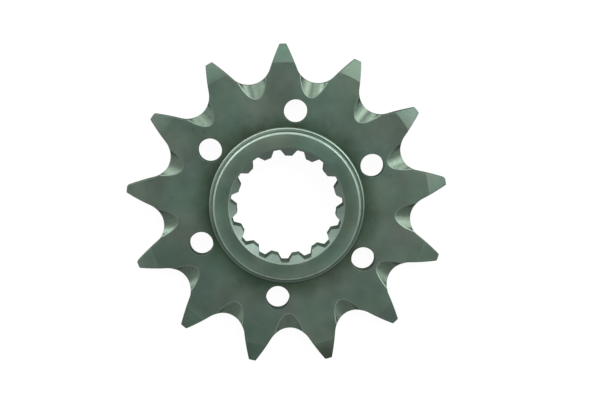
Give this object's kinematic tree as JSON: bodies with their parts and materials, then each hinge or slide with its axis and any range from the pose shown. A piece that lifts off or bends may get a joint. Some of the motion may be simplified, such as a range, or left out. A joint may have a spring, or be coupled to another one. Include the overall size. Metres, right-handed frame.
{
  "type": "chain sprocket",
  "caption": "Flat toothed sprocket for a roller chain, with a raised round boss, a splined bore, a ring of round holes and a sloping mud scoop in every tooth gap.",
  "frame": {"origin": "on the axis of the teeth and bore, in the plane of the flat back face", "axes": "+Z along the axis, from the back face to the raised boss; lies flat on its back face"},
  "size_m": [0.072, 0.0717, 0.0102],
  "materials": {
    "coated_steel": "machined steel with a thin dark grey-green conversion coat, satin"
  },
  "bodies": {
    "root": {"sprocket": "coated_steel"}
  },
  "joints": []
}
